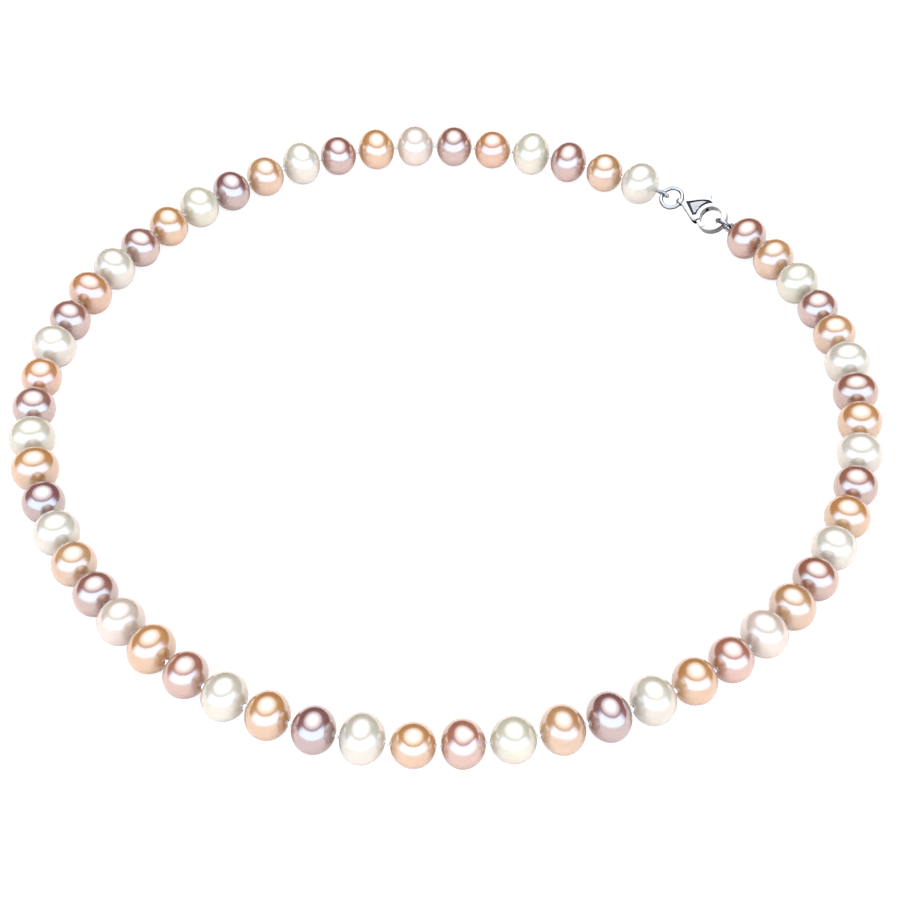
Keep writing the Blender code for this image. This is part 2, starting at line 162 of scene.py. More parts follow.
def pearl_size(index):
    """(half length, half width, egg, oval, turn of the oval) of one pearl."""
    chance = random.Random(SEED + index)
    length = HALF_LENGTH[hue(index)]
    share = 1 + WIDTH_SPREAD * chance.uniform(-1, 1)
    width = HALF_WIDTH[hue(index)] * STAND_OUT.get(index + 1, share)
    egg = EGG_SPREAD * chance.uniform(-1, 1)
    oval = OVAL_SPREAD * chance.uniform(0, 1)
    return length, width, egg, oval, chance.uniform(0, math.pi)


def knot_space(index):
    return KNOT_SPACE + SPACE_WAVE * math.cos(2 * math.pi * (index - LOOSEST_AT) / PEARLS)


def walk(radius):
    bearing = FIRST_BEARING
    places = [loop_point(bearing, radius)]
    for index in range(1, PEARLS):
        pitch = HALF_LENGTH[hue(index - 1)] + knot_space(index) + HALF_LENGTH[hue(index)]
        step = pitch / radius
        for _ in range(4):
            reached = (loop_point(bearing + step, radius) - places[-1]).length
            step *= pitch / reached
        bearing += step
        places.append(loop_point(bearing, radius))
    return places


def pearl_places():
    """The pearls' places once the loop's radius leaves just the clasp's span open."""
    low, high = 0.9 * LOOP_RADIUS, 1.1 * LOOP_RADIUS
    for _ in range(40):
        middle = (low + high) / 2
        places = walk(middle)
        if (places[0] - places[-1]).length < CLASP_SPAN:
            low = middle
        else:
            high = middle
    return places


def directions(places):
    found = []
    for k, here in enumerate(places):
        before = places[k - 1]
        after = places[(k + 1) % len(places)]
        found.append(((here - before).normalized() + (after - here).normalized()).normalized())
    return found


def skin_point(index, latitude, turn):
    """A point of a pearl's plain skin, in its own frame."""
    length, width, egg, oval, turned = pearl_size(index)
    along = length * math.sin(latitude)
    radius = width * math.cos(latitude) * (1 + egg * math.sin(latitude))
    size = radius * (1 + oval * (math.cos(2 * (turn - turned)) - 1))
    return Vector((along, size * math.sin(turn), size * math.cos(turn)))


def rim_at(index):
    length, width = pearl_size(index)[:2]
    return length * math.sqrt(1 - (BORE / width) ** 2)


def rest_height(index):
    """How high a pearl's axis is when the model's pearl rests on the ground."""
    turns = [2 * math.pi * k / PEARL_SIDES for k in range(PEARL_SIDES)]
    return -min(skin_point(index, math.radians(lat), a).z for lat in LATITUDES for a in turns)


def frame_of(strand, index):
    """The matrix from a pearl's own frame to the world, in millimetres."""
    places, ways = strand
    turn = math.atan2(ways[index].y, ways[index].x)
    height = Vector((0, 0, rest_height(index)))
    return Matrix.Translation(places[index] + height) @ Matrix.Rotation(turn, 4, "Z")


def knot_middle(strand, index):
    before = frame_of(strand, index) @ Vector((rim_at(index), 0, 0))
    after = frame_of(strand, index + 1) @ Vector((-rim_at(index + 1), 0, 0))
    return (before + after) / 2


def clasp_frame(strand):
    first = frame_of(strand, 0)
    last = frame_of(strand, PEARLS - 1)
    pole_first = first @ Vector((-rim_at(0), 0, 0))
    pole_last = last @ Vector((rim_at(PEARLS - 1), 0, 0))
    height = (pole_first.z + pole_last.z) / 2
    run = pole_last - pole_first
    run.z = 0
    u = run.normalized()
    centre = Vector((pole_last.x, pole_last.y, height)) - u * CLAW_TO_LAST
    flat = Matrix.Rotation(math.atan2(u.y, u.x), 4, "Z")
    return Matrix.Translation(centre) @ flat @ Matrix.Rotation(CLASP_ROLL, 4, "X")


def arc_of(index):
    return "abcd"[sum(index >= bend for bend in BEND_AFTER)]


# ---------------------------------------------------------------- meshes


def build(name, bm, place, materials):
    """Turns a mesh in millimetres, drawn in the frame `place`, into an object in metres."""
    bmesh.ops.scale(bm, vec=(MM, MM, MM), verts=bm.verts)
    bmesh.ops.recalc_face_normals(bm, faces=bm.faces)
    mesh = bpy.data.meshes.new(name)
    bm.to_mesh(mesh)
    bm.free()
    mesh.shade_smooth()
    mesh.set_sharp_from_angle(angle=SHARP)
    for material in materials:
        mesh.materials.append(material)
    obj = bpy.data.objects.new(name, mesh)
    bpy.context.scene.collection.objects.link(obj)
    turn = place.to_quaternion().to_matrix().to_4x4()
    obj.matrix_world = Matrix.Translation(place.translation * MM) @ turn
    return obj


def loft(bm, rings, closed=False, material=0):
    """Adds a body through rings of points: capped at both ends, or joined end to end."""
    made = [[bm.verts.new(point) for point in ring] for ring in rings]
    pairs = list(zip(made, made[1:]))
    faces = []
    if closed:
        pairs.append((made[-1], made[0]))
    else:
        faces.append(bm.faces.new(made[0][::-1]))
        faces.append(bm.faces.new(made[-1]))
    sides = len(made[0])
    for first, second in pairs:
        for k in range(sides):
            following = (k + 1) % sides
            faces.append(bm.faces.new((first[k], first[following], second[following], second[k])))
    for face in faces:
        face.material_index = material
    return bm


def carried_frames(points):
    """(place, across, rise) along a line, turned no more than the line itself turns."""
    frames = []
    rise = Vector((0, 0, 1))
    for k, point in enumerate(points):
        way = (points[min(k + 1, len(points) - 1)] - points[max(k - 1, 0)]).normalized()
        if k == 0 and abs(way.dot(rise)) > 0.9:
            rise = Vector((0, 1, 0))
        across = rise.cross(way).normalized()
        rise = way.cross(across).normalized()
        frames.append((point, across, rise))
    return frames


def tube_rings(points, radius, sides):
    """Rings round a line. The radius is one number, or a function of the step and the turn."""
    rings = []
    for k, (point, across, rise) in enumerate(carried_frames(points)):
        ring = []
        for side in range(sides):
            turn = 2 * math.pi * side / sides
            size = radius(k, turn) if callable(radius) else radius
            ring.append(point + size * (math.cos(turn) * rise + math.sin(turn) * across))
        rings.append(ring)
    return rings


def spaced(points, step):
    """Points a step apart along a line of straight stretches."""
    found = [points[0]]
    left = step
    for start, end in zip(points, points[1:]):
        length = (end - start).length
        at = left
        while at <= length:
            found.append(start.lerp(end, at / length))
            at += step
        left = at - length
    return found


def rounded(points, passes):
    """A line with its corners cut again and again, its ends kept."""
    for _ in range(passes):
        cut = [points[0]]
        for start, end in zip(points, points[1:]):
            cut.append(start.lerp(end, 0.25))
            cut.append(start.lerp(end, 0.75))
        cut.append(points[-1])
        points = cut
    return points


def prism(outline, low, high):
    bm = loft(bmesh.new(), [[(u, v, level) for u, v in outline] for level in (low, high)])
    bmesh.ops.recalc_face_normals(bm, faces=bm.faces)
    bm.normal_update()
    return bm


def pillow(outline, half, edge, steps, dome):
    """A prism whose face edges are rounded, taller than wide by the dome's share."""
    bm = prism(outline, -half / dome, half / dome)
    caps = [face for face in bm.faces if abs(face.normal.z) > 0.9]
    edges = [edge for edge in bm.edges if any(face in caps for face in edge.link_faces)]
    bmesh.ops.bevel(
        bm, geom=edges, offset=edge, segments=steps, profile=0.5, affect="EDGES", clamp_overlap=True
    )
    bmesh.ops.scale(bm, vec=(1, 1, dome), verts=bm.verts)
    return bm


def arc(centre, radius, start, end, steps):
    first, last = radius if isinstance(radius, tuple) else (radius, radius)
    points = []
    for k in range(steps + 1):
        share = k / steps
        angle = start + (end - start) * share
        size = first + (last - first) * share
        points.append((centre[0] + size * math.cos(angle), centre[1] + size * math.sin(angle)))
    return points


def circle(centre, radius, sides):
    return arc(centre, radius, 0, 2 * math.pi, sides)[:-1]


def curved(points, steps):
    """A smooth line through points in (u, v)."""
    padded = [points[0], *points, points[-1]]
    found = []
    for a, b, c, d in zip(padded, padded[1:], padded[2:], padded[3:]):
        for k in range(steps):
            t = k / steps
            point = []
            for i in (0, 1):
                bend = 2 * a[i] - 5 * b[i] + 4 * c[i] - d[i]
                twist = 3 * b[i] - a[i] - 3 * c[i] + d[i]
                point.append(0.5 * (2 * b[i] + (c[i] - a[i]) * t + bend * t * t + twist * t ** 3))
            found.append(tuple(point))
    return found + [points[-1]]


def combined(base, others):
    """Applies EXACT Booleans to an object: pairs of an operation and the object to use."""
    for operation, other in others:
        modifier = base.modifiers.new(operation, "BOOLEAN")
        modifier.operation = operation
        modifier.solver = "EXACT"
        modifier.object = other
    bpy.context.view_layer.update()
    graph = bpy.context.evaluated_depsgraph_get()
    mesh = bpy.data.meshes.new_from_object(base.evaluated_get(graph), depsgraph=graph)
    base.modifiers.clear()
    base.data = mesh
    for _, other in others:
        bpy.data.objects.remove(other, do_unlink=True)
    return base


# ---------------------------------------------------------------- materials


def add_node(tree, kind, inputs=None, **settings):
    made = tree.nodes.new(kind)
    for name, value in settings.items():
        setattr(made, name, value)
    for name, value in (inputs or {}).items():
        if isinstance(value, bpy.types.NodeSocket):
            tree.links.new(value, made.inputs[name])
        else:
            made.inputs[name].default_value = value
    return made


def new_material(name):
    made = bpy.data.materials.new(name)
    made.use_nodes = True
    return made, made.node_tree, made.node_tree.nodes["Principled BSDF"]


def mix_colour(tree, factor, first, second):
    made = add_node(tree, "ShaderNodeMix", data_type="RGBA")
    for socket, value in ((0, factor), (6, first), (7, second)):
        if isinstance(value, bpy.types.NodeSocket):
            tree.links.new(value, made.inputs[socket])
        elif socket:
            made.inputs[socket].default_value = (*value, 1)
        else:
            made.inputs[socket].default_value = value
    return made.outputs[2]


def ranged(tree, value, low, high, to_low, to_high):
    made = add_node(
        tree,
        "ShaderNodeMapRange",
        {"Value": value, "From Min": low, "From Max": high, "To Min": to_low, "To Max": to_high},
    )
    return made.outputs["Result"]


# Body colour, its deeper cloud, the tint of its lustre, and how strong the lustre is
NACRE = {
    "white": ((0.55, 0.49, 0.40), (0.47, 0.42, 0.33), (0.58, 0.58, 0.60), 2.4),
    "peach": ((0.51, 0.27, 0.11), (0.45, 0.21, 0.07), (0.68, 0.88, 1.00), 2.7),
    "mauve": ((0.31, 0.115, 0.075), (0.26, 0.08, 0.05), (0.84, 0.98, 1.00), 3.0),
}
HUE_DRIFT = 0.05
CLOUD_SCALE = 230.0
GRAIN_SCALE = 1500.0
NACRE_ROUGH = (0.21, 0.25)
END_FROM = 2.2
END_TO = 3.5
COAT_IOR = 2.25
# Which pearls, counted along the strand, lean away from their hue, and by how much
LEANINGS = (
    ((4, 13, 22, 37, 55), (0.98, 1.00, 0.94)),
    ((7, 28, 43), (1.05, 0.95, 0.97)),
    ((8, 14, 23, 29, 32, 35, 41, 47, 50), (1.04, 0.96, 0.72)),
    ((5, 17, 20), (1.04, 0.86, 0.74)),
    ((12, 24, 33, 39), (0.80, 0.76, 1.02)),
    ((45, 48, 51, 57), (1.08, 0.98, 0.72)),
    ((30, 36, 42), (1.30, 1.35, 1.12)),
    ((15, 21), (1.05, 1.20, 1.30)),
)


def nacre(index):
    """One pearl's nacre: a clouded body colour under a soft lustre and a thin clear skin."""
    body, cloud, lustre, gloss = NACRE[hue(index)]
    chance = random.Random(SEED * 7 + index)
    lean = 1 + HUE_DRIFT * chance.uniform(-1, 1)
    material, tree, shader = new_material(f"nacre_{index + 1:02d}")
    coords = add_node(tree, "ShaderNodeTexCoord").outputs["Object"]
    clouds = add_node(
        tree,
        "ShaderNodeTexNoise",
        {"Vector": coords, "W": float(index), "Scale": CLOUD_SCALE, "Detail": 3.0, "Roughness": 0.5},
        noise_dimensions="4D",
    ).outputs["Fac"]
    for numbers, towards in LEANINGS:
        if index + 1 in numbers:
            body = [channel * shift for channel, shift in zip(body, towards)]
            cloud = [channel * shift for channel, shift in zip(cloud, towards)]
    body = [min(1.0, channel * lean) for channel in body]
    colour = mix_colour(tree, ranged(tree, clouds, 0.35, 0.65, 0, 1), body, cloud)
    along = add_node(tree, "ShaderNodeSeparateXYZ", {"Vector": coords}).outputs["X"]
    ends = add_node(tree, "ShaderNodeMath", {0: along}, operation="ABSOLUTE").outputs[0]
    colour = mix_colour(tree, ranged(tree, ends, END_FROM * MM, END_TO * MM, 0, 0.6), colour, cloud)
    tree.links.new(colour, shader.inputs["Base Color"])
    grain = add_node(
        tree,
        "ShaderNodeTexNoise",
        {"Vector": coords, "W": float(index), "Scale": GRAIN_SCALE, "Detail": 4.0},
        noise_dimensions="4D",
    ).outputs["Fac"]
    shader.inputs["Roughness"].default_value = chance.uniform(*NACRE_ROUGH)
    bump = add_node(
        tree, "ShaderNodeBump", {"Height": grain, "Strength": 0.25, "Distance": 0.012 * MM}
    )
    tree.links.new(bump.outputs["Normal"], shader.inputs["Normal"])
    shader.inputs["IOR"].default_value = gloss
    shader.inputs["Specular Tint"].default_value = (*lustre, 1)
    shader.inputs["Subsurface Weight"].default_value = 0.15
    shader.inputs["Subsurface Radius"].default_value = (1.0, 0.6, 0.45)
    shader.inputs["Subsurface Scale"].default_value = 1.2 * MM
    shader.inputs["Coat Weight"].default_value = 0.85
    shader.inputs["Coat Roughness"].default_value = 0.09
    shader.inputs["Coat IOR"].default_value = COAT_IOR
    return material


SILK_DARK = (0.93, 0.92, 0.88)
SILK_BRIGHT = (0.99, 0.98, 0.97)


def silk_material():
    """Undyed silk: fine twisted fibres with a soft sheen."""
    material, tree, shader = new_material("silk_twist")
    coords = add_node(tree, "ShaderNodeTexCoord").outputs["Object"]
    fibres = add_node(
        tree, "ShaderNodeTexNoise", {"Vector": coords, "Scale": 9000.0, "Detail": 3.0}
    ).outputs["Fac"]
    colour = mix_colour(tree, ranged(tree, fibres, 0.3, 0.7, 0, 1), SILK_DARK, SILK_BRIGHT)
    tree.links.new(colour, shader.inputs["Base Color"])
    bump = add_node(tree, "ShaderNodeBump", {"Height": fibres, "Strength": 0.5, "Distance": 0.04 * MM})
    tree.links.new(bump.outputs["Normal"], shader.inputs["Normal"])
    shader.inputs["Roughness"].default_value = 0.7
    shader.inputs["Sheen Weight"].default_value = 0.2
    shader.inputs["Sheen Roughness"].default_value = 0.4
    return material


SILVER = (0.50, 0.51, 0.53)
SILVER_DULL = (0.44, 0.45, 0.48)
# The silver's painted shade: sides, grooves and outlines are mixed towards this dark colour
SILVER_PAINTED_SHADE = (0.025, 0.028, 0.033)
POLISHED = 0.09
DRAWN = 0.2
DULLEST = 1.9


def silver_material(name, rough):
    """Silver with faint swirl marks and duller patches, darkened by a painted shade that the mesh stores.
    """
    material, tree, shader = new_material(name)
    coords = add_node(tree, "ShaderNodeTexCoord").outputs["Object"]
    patches = add_node(
        tree, "ShaderNodeTexNoise", {"Vector": coords, "Scale": 700.0, "Detail": 2.0}
    ).outputs["Fac"]
    marks = add_node(
        tree,
        "ShaderNodeTexNoise",
        {"Vector": coords, "Scale": 5200.0, "Detail": 3.0, "Distortion": 2.0},
    ).outputs["Fac"]
    colour = mix_colour(tree, ranged(tree, patches, 0.35, 0.65, 0, 1), SILVER, SILVER_DULL)
    shade = add_node(tree, "ShaderNodeAttribute", attribute_name=PAINTED_SHADE).outputs["Fac"]
    # Painted shade: the stored attribute darkens the silver's sides, grooves and outlines
    colour = mix_colour(tree, shade, colour, SILVER_PAINTED_SHADE)
    tree.links.new(colour, shader.inputs["Base Color"])
    tree.links.new(ranged(tree, patches, 0.3, 0.7, rough, rough * DULLEST), shader.inputs["Roughness"])
    bump = add_node(tree, "ShaderNodeBump", {"Height": marks, "Strength": 0.12, "Distance": 0.01 * MM})
    tree.links.new(bump.outputs["Normal"], shader.inputs["Normal"])
    shader.inputs["Metallic"].default_value = 1.0
    return material


# ---------------------------------------------------------------- the pearls

# What stands out on single pearls, by their place on the strand. A groove runs round the drill
# hole's axis: (where along the half length, half width, depth). A swelling or dent is (azimuth,
# elevation, angular radius in degrees, height), seen from the front of the necklace.
GROOVES = {
    14: ((0.30, 0.05, 0.05), (0.48, 0.05, 0.06), (0.64, 0.05, 0.05)),
    15: ((-0.35, 0.06, 0.07),),
    52: ((0.42, 0.04, 0.08), (0.56, 0.04, 0.09), (0.70, 0.04, 0.07)),
}
SPOTS = {
    3: ((-150, 60, 7, -0.06),),
    15: ((-40, 25, 30, 0.08),),
    19: ((-100, 30, 22, 0.10), (-50, 60, 18, 0.08), (-140, 10, 20, -0.07)),
    31: ((-90, 12, 9, -0.10), (-70, 10, 9, -0.09), (-110, 11, 9, -0.09)),
    36: ((-25, 55, 16, 0.22),),
    38: ((-95, 22, 8, -0.12), (-80, 18, 7, -0.10), (-112, 19, 7, -0.09), (-88, 6, 6, -0.07)),
    46: ((-60, 35, 24, 0.12), (-130, 30, 20, -0.10)),
    53: ((-120, 50, 24, 0.12), (-60, 50, 22, 0.10)),
}


def spot_height(spot, way):
    azimuth, elevation, radius, height = spot
    a, e = math.radians(azimuth), math.radians(elevation)
    towards = Vector((math.cos(a) * math.cos(e), math.sin(a) * math.cos(e), math.sin(e)))
    apart = math.degrees(towards.angle(way))
    return height * math.exp(-((apart / radius) ** 2))


def pearl_bump(index, point, frame_matrix):
    """How far a point of the skin stands out from the plain shape."""
    length = pearl_size(index)[0]
    number = index + 1
    fade = 1 - min(1.0, (abs(point.x) / length) ** 8)
    drift = Vector((index * 7.3, index * 3.1, index * 1.7))
    height = LUMP * HALF_WIDTH["white"] * noise.noise(point * LUMP_SCALE + drift)
    for at, half, depth in GROOVES.get(number, ()):
        height -= depth * math.exp(-(((point.x / length - at) / half) ** 2))
    way = (frame_matrix.to_3x3() @ point).normalized()
    for spot in SPOTS.get(number, ()):
        height += spot_height(spot, way)
    return height * fade


def pearl_mesh(index, frame_matrix):
    """A drilled pearl: its skin from rim to rim, a small chamfer, and the hole through it."""
    length, width = pearl_size(index)[:2]
    last = math.acos(BORE / width)
    rings = []
    for k in range(SKIN_RINGS + 1):
        latitude = last * math.sin(math.pi * (k / SKIN_RINGS - 0.5))
        ring = []
        for side in range(SKIN_SIDES):
            point = skin_point(index, latitude, 2 * math.pi * side / SKIN_SIDES)
            out = Vector((point.x / length ** 2, point.y / width ** 2, point.z / width ** 2)).normalized()
            ring.append(point + out * pearl_bump(index, point, frame_matrix))
        rings.append(ring)
    rim = rim_at(index)
    for along, radius in ((rim - CHAMFER, HOLE), (CHAMFER - rim, HOLE)):
        turns = [2 * math.pi * side / SKIN_SIDES for side in range(SKIN_SIDES)]
        rings.append([Vector((along, radius * math.sin(a), radius * math.cos(a))) for a in turns])
    return loft(bmesh.new(), rings, closed=True)


def cad_node_of(index):
    """The model's node that holds a pearl: its own, or the one it shares with its neighbour."""
    if index in PAIR_AFTER:
        index -= 1
    elif index + 1 not in PAIR_AFTER:
        return f"pearl_{index + 1:02d}_{hue(index)}"
    return f"pearls_{index + 1:02d}_{index + 2:02d}_{hue(index)}_{hue(index + 1)}"


def add_pearls(strand):
    for index in range(PEARLS):
        place = frame_of(strand, index)
        pearl = build(f"pearl_{index + 1:02d}", pearl_mesh(index, place), place, [nacre(index)])
        node = cad_node_of(index)
        body = node if node in frame["bodies"] else f"strand_{arc_of(index)}"
        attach(pearl, body)
        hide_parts(node)


# ---------------------------------------------------------------- the silk

SILK_CORE = 0.27
PLY_DEPTH = 0.16
TWIST_PITCH = 1.1
SILK_STEP = 0.14
SILK_SIDES = 9
KNOT_MAJOR = 0.33
KNOT_MINOR = 0.13
KNOT_WRAP = 0.135
KNOT_STEPS = 48
KNOT_SIDES = 7


def silk_line(strand, first, last, before, after):
    """The thread's line through an arc's pearls, in world millimetres."""
    points = []
    if before:
        points.append(knot_middle(strand, first - 1))
    for index in range(first, last + 1):
        place = frame_of(strand, index)
        reach = rim_at(index)
        points.append(place @ Vector((-reach, 0, 0)))
        points.append(place @ Vector((reach, 0, 0)))
        if index < last or after:
            points.append(knot_middle(strand, index))
    return points


def ply_radius(step, turn):
    twist = 2 * math.pi * step * SILK_STEP / TWIST_PITCH
    return SILK_CORE * (1 + PLY_DEPTH * (math.cos(3 * (turn - twist)) - 1))


def knot_points(middle, way):
    """A tight overhand knot: a thread that winds round the strand and through itself."""
    across = Vector((0, 0, 1)).cross(way).normalized()
    rise = way.cross(across)
    points = []
    for k in range(KNOT_STEPS):
        t = 2 * math.pi * k / KNOT_STEPS
        radius = KNOT_MAJOR + KNOT_MINOR * math.cos(3 * t)
        out = math.cos(2 * t) * across + math.sin(2 * t) * rise
        points.append(middle + radius * out + 1.2 * KNOT_MINOR * math.sin(3 * t) * way)
    return points


def closed_rings(points, radius, sides):
    """Rings round a line that ends where it starts, with the frames carried round to meet."""
    count = len(points)
    rings = []
    rise = Vector((0, 0, 1))
    for k, point in enumerate(points):
        way = (points[(k + 1) % count] - points[k - 1]).normalized()
        across = rise.cross(way).normalized()
        rise = way.cross(across).normalized()
        rings.append((point, across, rise, way))
    point, across, rise, way = rings[0]
    last = rings[-1][2] - rings[-1][2].dot(way) * way
    slip = math.atan2(last.dot(across), last.dot(rise))
    found = []
    for k, (point, across, rise, way) in enumerate(rings):
        ring = []
        for side in range(sides):
            turn = 2 * math.pi * side / sides - slip * k / count
            ring.append(point + radius * (math.cos(turn) * rise + math.sin(turn) * across))
        found.append(ring)
    return found


def add_silk(strand, materials):
    ends = (0, *BEND_AFTER, PEARLS)
    knots = ((False, False), (True, True), (False, False), (True, False))
    for number, (before, after) in enumerate(knots):
        letter = "abcd"[number]
        first, last = ends[number], ends[number + 1] - 1
        line = spaced(silk_line(strand, first, last, before, after), SILK_STEP)
        bm = loft(bmesh.new(), tube_rings(line, ply_radius, SILK_SIDES))
        knotted = range(first - before, last + after)
        for index in knotted:
            way = (strand[1][index] + strand[1][index + 1]).normalized()
            points = knot_points(knot_middle(strand, index), way)
            loft(bm, closed_rings(points, KNOT_WRAP, KNOT_SIDES), closed=True)
        silk = build(f"silk_thread_{letter}", bm, Matrix.Identity(4), materials)
        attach(silk, f"strand_{letter}")
        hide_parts(f"silk_{letter}")


# ---------------------------------------------------------------- the clasp

# How far each casting's edges are rounded, and how much taller than wide the rounding is
CLAW_EDGE = 0.38
CLAW_DOME = 1.5
LEVER_EDGE = 0.26
LEVER_DOME = 1.3
GATE_EDGE = 0.24
GATE_DOME = 1.5
POCKET_DEPTH = 0.30
FACET_DEPTH = 0.10
# How dark the silver's painted shade is, from 0 to 1, and the facing at which a side stops being painted
# dark
CASTING_PAINTED_SHADE = 0.48
RING_PAINTED_SHADE = 0.92
FACET_PAINTED_SHADE = 0.38
SHADED_UP_TO = 0.45
BRIGHT_AFTER = 0.95
LEVEL_SLACK = 0.005
# The lever's spring
SPRING_TURNS = 2.2
SPRING_START = 0.8
SPRING_COIL = (0.52, 0.78)
SPRING_WIRE = 0.075
SPRING_LEG = (-0.20, 0.03, 0)
SPRING_STEPS = 59
SPRING_SIDES = 8
SPRING_RECESS = 1.05
SPRING_ROOM = (SPRING_LOW - 0.08, LEVER_HALF + 0.02)
# The rings and the French wire. A coil is (wire radius, pitch), and the eases thin the model's own
# sizes, so that nothing rubs when the clasp rolls.
SEAM_AT = 2.2
RING_STEPS = 72
RING_SIDES = 18
CATCH_EASE = 0.06
COIL_AROUND = 12
COIL_EASE = 0.06
LEFT_COIL = (0.07, 0.150)
RIGHT_COIL = (0.12, 0.27)


def bearing_at(radius, reach):
    """Where a circle round the claw's middle, below it, meets a circle of this reach round the pin."""
    apart = math.hypot(*PIN_AT)
    turn = math.acos((radius ** 2 + apart ** 2 - reach ** 2) / (2 * radius * apart))
    return math.atan2(PIN_AT[1], PIN_AT[0]) + turn


def claw_outline():
    """The body seen from its face, as in the model but with smooth curves."""
    tip = bearing_at(CLAW_OUTER[0], TIP_REACH) - 2 * math.pi
    outer = arc((0, 0), CLAW_OUTER, tip, CLAW_ROOT, 48)
    back = curved([outer[-1], (-1.7, 3.22), (-2.9, 2.78), (-4.1, 2.02), (-5.3, 1.18), (-6.5, 0.56)], 4)
    belly = curved([(-6.5, -0.50), (-5.3, -1.02), (-4.1, -1.62), (-2.95, -2.14), (-2.3, -2.18)], 4)
    inner_tip = bearing_at(CLAW_HOLE, TIP_REACH) - 2 * math.pi
    inner = arc((0, 0), CLAW_HOLE, CHEEK_END, inner_tip, 60)
    return outer[:-1] + back + belly + inner


def slot_outline():
    return [(-5.7, -3.2), (-1.0, -3.2), (-1.0, 0.0), (-1.5, 1.25), (-1.5, 4.2), (-5.7, 4.2)]


def pocket_outline():
    """The sunk three-cornered facet on each face, between the claw's rim and its two edges."""
    rim = arc((0, 0), 2.72, math.radians(112), math.radians(200), 18)
    edge = curved([(-5.95, 0.42), (-5.2, 0.92), (-4.1, 1.72), (-2.95, 2.42), (-1.9, 2.74), rim[0]], 4)
    return edge[:-1] + rim + [(-3.15, -1.40)]


def facet_outline():
    """The raised middle of the pocket, which leaves a groove round it."""
    rim = arc((0, 0), (3.25, 3.08), math.radians(136), math.radians(191), 12)
    edge = curved([(-5.05, 0.50), (-4.15, 1.30), (-3.20, 1.95), rim[0]], 4)
    return edge[:-1] + rim + [(-3.28, -0.80)]


def store_painted_shade(piece, axis, deepest, special=None):
    """Stores a painted shade at each corner: the sides are painted darker than the faces, standing in for
    dark reflections.
    """
    mesh = piece.data
    shades = [0.0] * len(mesh.loops)
    for face in mesh.polygons:
        fixed = special(face.center, face.normal) if special else None
        for loop in face.loop_indices:
            facing = abs(mesh.corner_normals[loop].vector.dot(axis))
            bright = min(1.0, max(0.0, (facing - SHADED_UP_TO) / (BRIGHT_AFTER - SHADED_UP_TO)))
            shades[loop] = deepest * (1 - bright) if fixed is None else fixed
    mesh.attributes.new(PAINTED_SHADE, "FLOAT", "CORNER").data.foreach_set("value", shades)


def pocket_painted_shade(centre, normal):
    """Painted shade: the floor of the groove round each facet is painted nearly black, and the facet
    itself a painted grey.
    """
    level = abs(centre.z) / MM
    if abs(normal.z) < 0.99:
        return None
    if abs(level - (THICK - POCKET_DEPTH)) < LEVEL_SLACK:
        return 1.0
    if abs(level - (THICK - FACET_DEPTH)) < LEVEL_SLACK:
        return FACET_PAINTED_SHADE
    return None


def pin_painted_shade(centre, normal):
    """Painted shade: the pin's ends get the same painted shade as the facets that they sit in."""
    return FACET_PAINTED_SHADE if abs(normal.z) > 0.9 else None


def along_v(bm, u):
    turn = Matrix.Translation((u, 0, 0)) @ Matrix.Rotation(math.pi / 2, 4, "X")
    bmesh.ops.transform(bm, matrix=turn, verts=bm.verts)
    bmesh.ops.recalc_face_normals(bm, faces=bm.faces)
    return bm


def eye_barrel():
    """The rounded eye that the jump ring runs through."""
    bm = pillow(circle((0, 0), EYE_OUTER, 40), EYE_HALF, 0.16, 4, 1.0)
    return along_v(bm, EYE_AT)


def helper(bm, place):
    return build("helper", bm, place, [])


def moved(bm, u, v):
    bmesh.ops.translate(bm, vec=(u, v, 0), verts=bm.verts)
    return bm


def add_claw(place, silver):
    body = build("claw_body", pillow(claw_outline(), THICK, CLAW_EDGE, 5, CLAW_DOME), place, [silver])
    steps = [
        ("UNION", helper(eye_barrel(), place)),
        ("DIFFERENCE", helper(along_v(prism(circle((0, 0), EYE_HOLE, 32), -2, 2), EYE_AT), place)),
        ("DIFFERENCE", helper(prism(slot_outline(), -SLOT_HALF, SLOT_HALF), place)),
        ("DIFFERENCE", helper(prism(pocket_outline(), THICK - POCKET_DEPTH, THICK + 1), place)),
        ("DIFFERENCE", helper(prism(pocket_outline(), -THICK - 1, POCKET_DEPTH - THICK), place)),
        ("UNION", helper(prism(facet_outline(), SLOT_HALF + 0.02, THICK - FACET_DEPTH), place)),
        ("UNION", helper(prism(facet_outline(), FACET_DEPTH - THICK, -SLOT_HALF - 0.02), place)),
        ("DIFFERENCE", helper(prism(circle(PIN_AT, PIN + 0.02, 32), -2, 2), place)),
    ]
    combined(body, steps)
    body.data.shade_smooth()
    body.data.set_sharp_from_angle(angle=CASTING_SHARP)
    # Painted shade: the claw's sides, groove and facets are painted darker
    store_painted_shade(body, Vector((0, 0, 1)), CASTING_PAINTED_SHADE, pocket_painted_shade)
    return body


def gate_ends():
    """Bearings of the gate's end at its inner and outer edge, where it swings clear of the tip."""
    return [bearing_at(radius, TIP_REACH - TIP_GAP) for radius in GATE_BAND]


def gate_outline():
    """The part of the gate outside the slot, nearly as thick as the claw itself."""
    inner, outer = GATE_BAND
    inner_end, outer_end = gate_ends()
    return arc((0, 0), outer, outer_end, GATE_START, 14) + arc((0, 0), inner, GATE_START, inner_end, 20)


